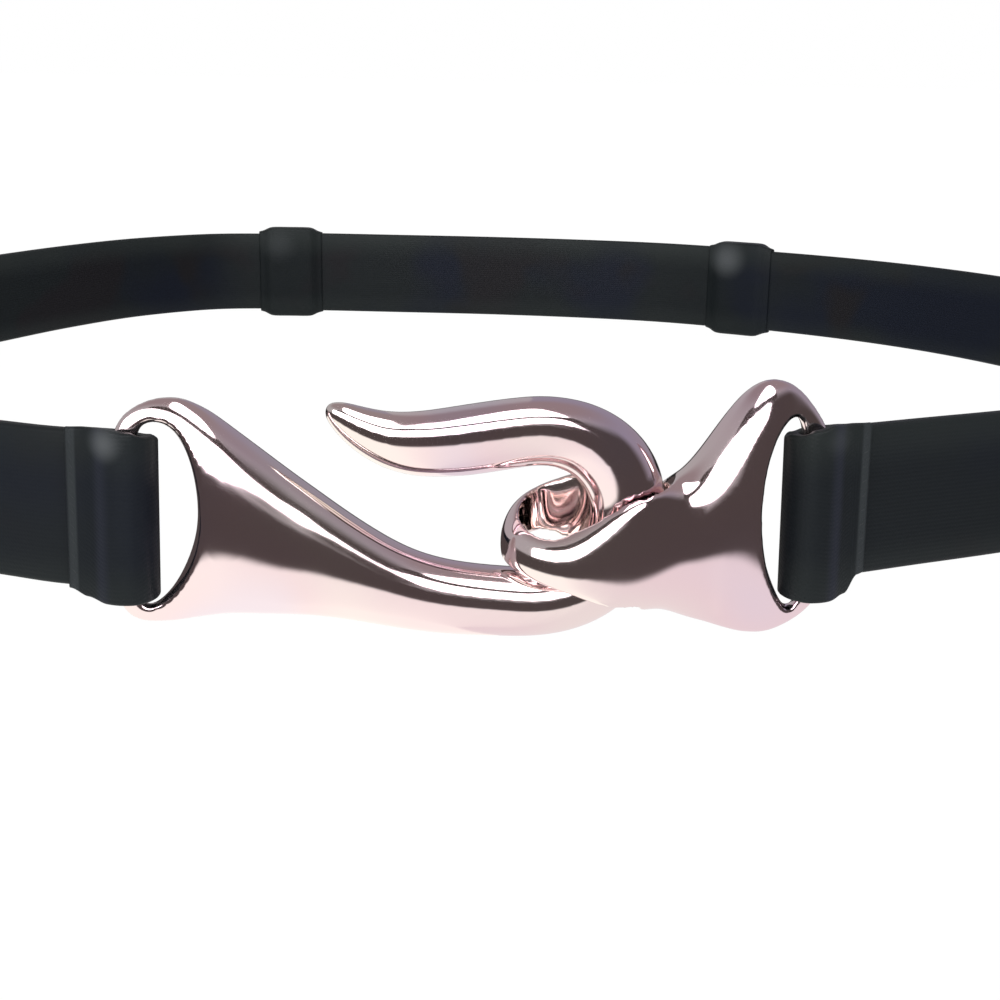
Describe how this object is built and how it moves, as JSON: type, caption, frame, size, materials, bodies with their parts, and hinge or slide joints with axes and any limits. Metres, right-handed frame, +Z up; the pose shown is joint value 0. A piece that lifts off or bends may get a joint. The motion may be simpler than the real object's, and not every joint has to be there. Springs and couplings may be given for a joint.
{
  "type": "elastic belt",
  "caption": "Fastened elastic waist belt standing on its edge, closed by a cast metal hook in a looped eye, with a sleeve at each side of the back.",
  "frame": {"origin": "middle of the belt's own box, at the height of the surface it stands on", "axes": "+X to the right across the belt, +Y from the buckle to the back, +Z up"},
  "size_m": [0.2702, 0.2398, 0.0342],
  "materials": {
    "buckle_metal": "polished plating with a pale rose tint",
    "elastic": "satin woven elastic",
    "binding": "smooth satin elastic"
  },
  "bodies": {
    "root": {"hook": "buckle_metal", "eye": "buckle_metal", "strap_left": "elastic", "strap_back": "elastic", "strap_right": "elastic", "sleeve_left": "binding", "sleeve_right": "binding", "fold_left": "binding", "fold_right": "binding"}
  },
  "joints": []
}
